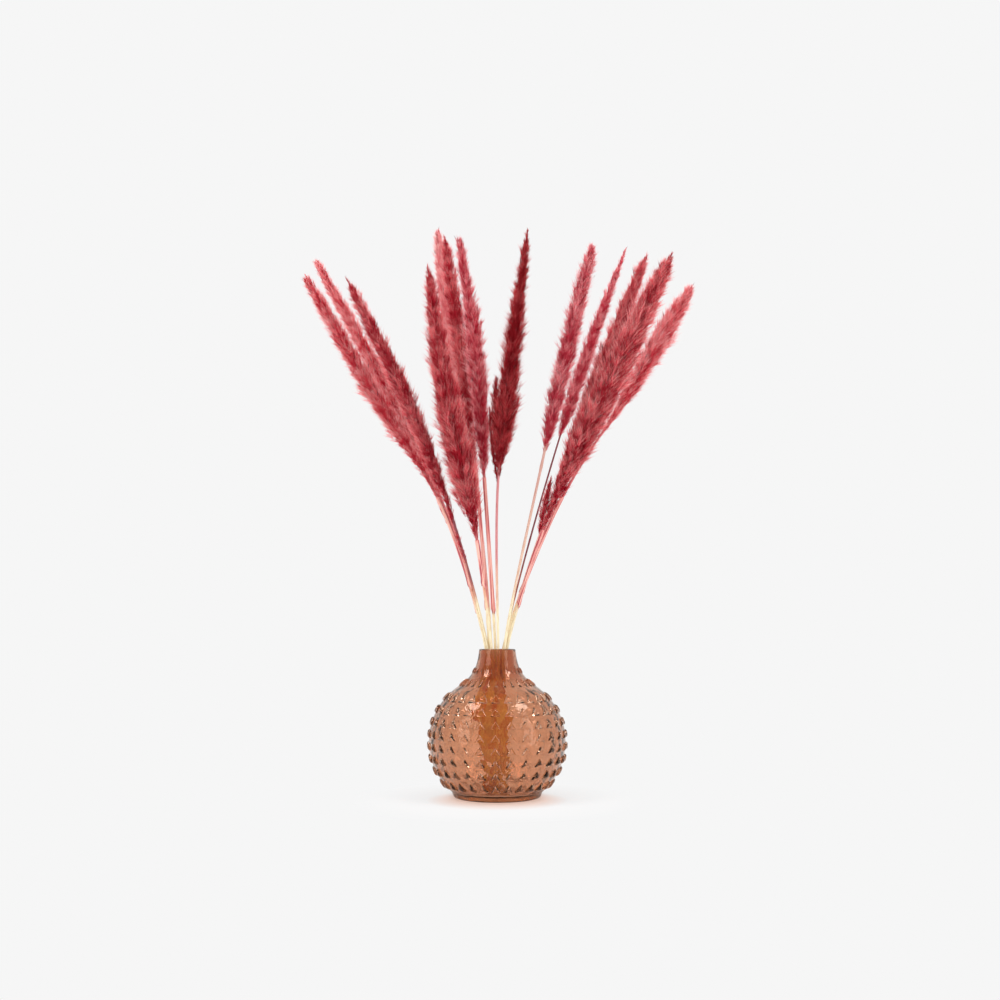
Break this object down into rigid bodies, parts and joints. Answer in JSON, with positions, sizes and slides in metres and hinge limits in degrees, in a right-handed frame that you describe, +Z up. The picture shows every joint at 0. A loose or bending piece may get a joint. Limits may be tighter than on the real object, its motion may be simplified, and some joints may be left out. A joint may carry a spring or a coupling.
{
  "type": "vase of dried pampas grass",
  "caption": "Round studded glass bottle vase holding a fan of dyed dried pampas stems with long feathery plumes.",
  "frame": {"origin": "centre of the vase's flat underside", "axes": "+Z up along the vase's axis, -Y to the front of the bunch, +X to the right when seen from the front"},
  "size_m": [0.4048, 0.1943, 0.6072],
  "materials": {
    "glass": "polished",
    "stalk": "satin",
    "plume": "matte",
    "sheath": "matte"
  },
  "bodies": {
    "root": {"vase": "glass", "stalk_01": "stalk", "stalk_02": "stalk", "stalk_03": "stalk", "stalk_04": "stalk", "stalk_05": "stalk", "stalk_06": "stalk", "stalk_07": "stalk", "stalk_08": "stalk", "stalk_09": "stalk", "stalk_10": "stalk", "stalk_11": "stalk", "stalk_12": "stalk", "stalk_13": "stalk", "plume_01": "plume", "plume_02": "plume", "plume_03": "plume", "plume_04": "plume", "plume_05": "plume", "plume_06": "plume", "plume_07": "plume", "plume_08": "plume", "plume_09": "plume", "plume_10": "plume", "plume_11": "plume", "plume_12": "plume", "plume_13": "plume", "leaf_sheath_01": "sheath", "leaf_sheath_02": "sheath", "leaf_sheath_04": "sheath", "leaf_sheath_06": "sheath", "leaf_sheath_07": "sheath", "leaf_sheath_11": "sheath", "leaf_sheath_12": "sheath", "leaf_sheath_13": "sheath"}
  },
  "joints": []
}
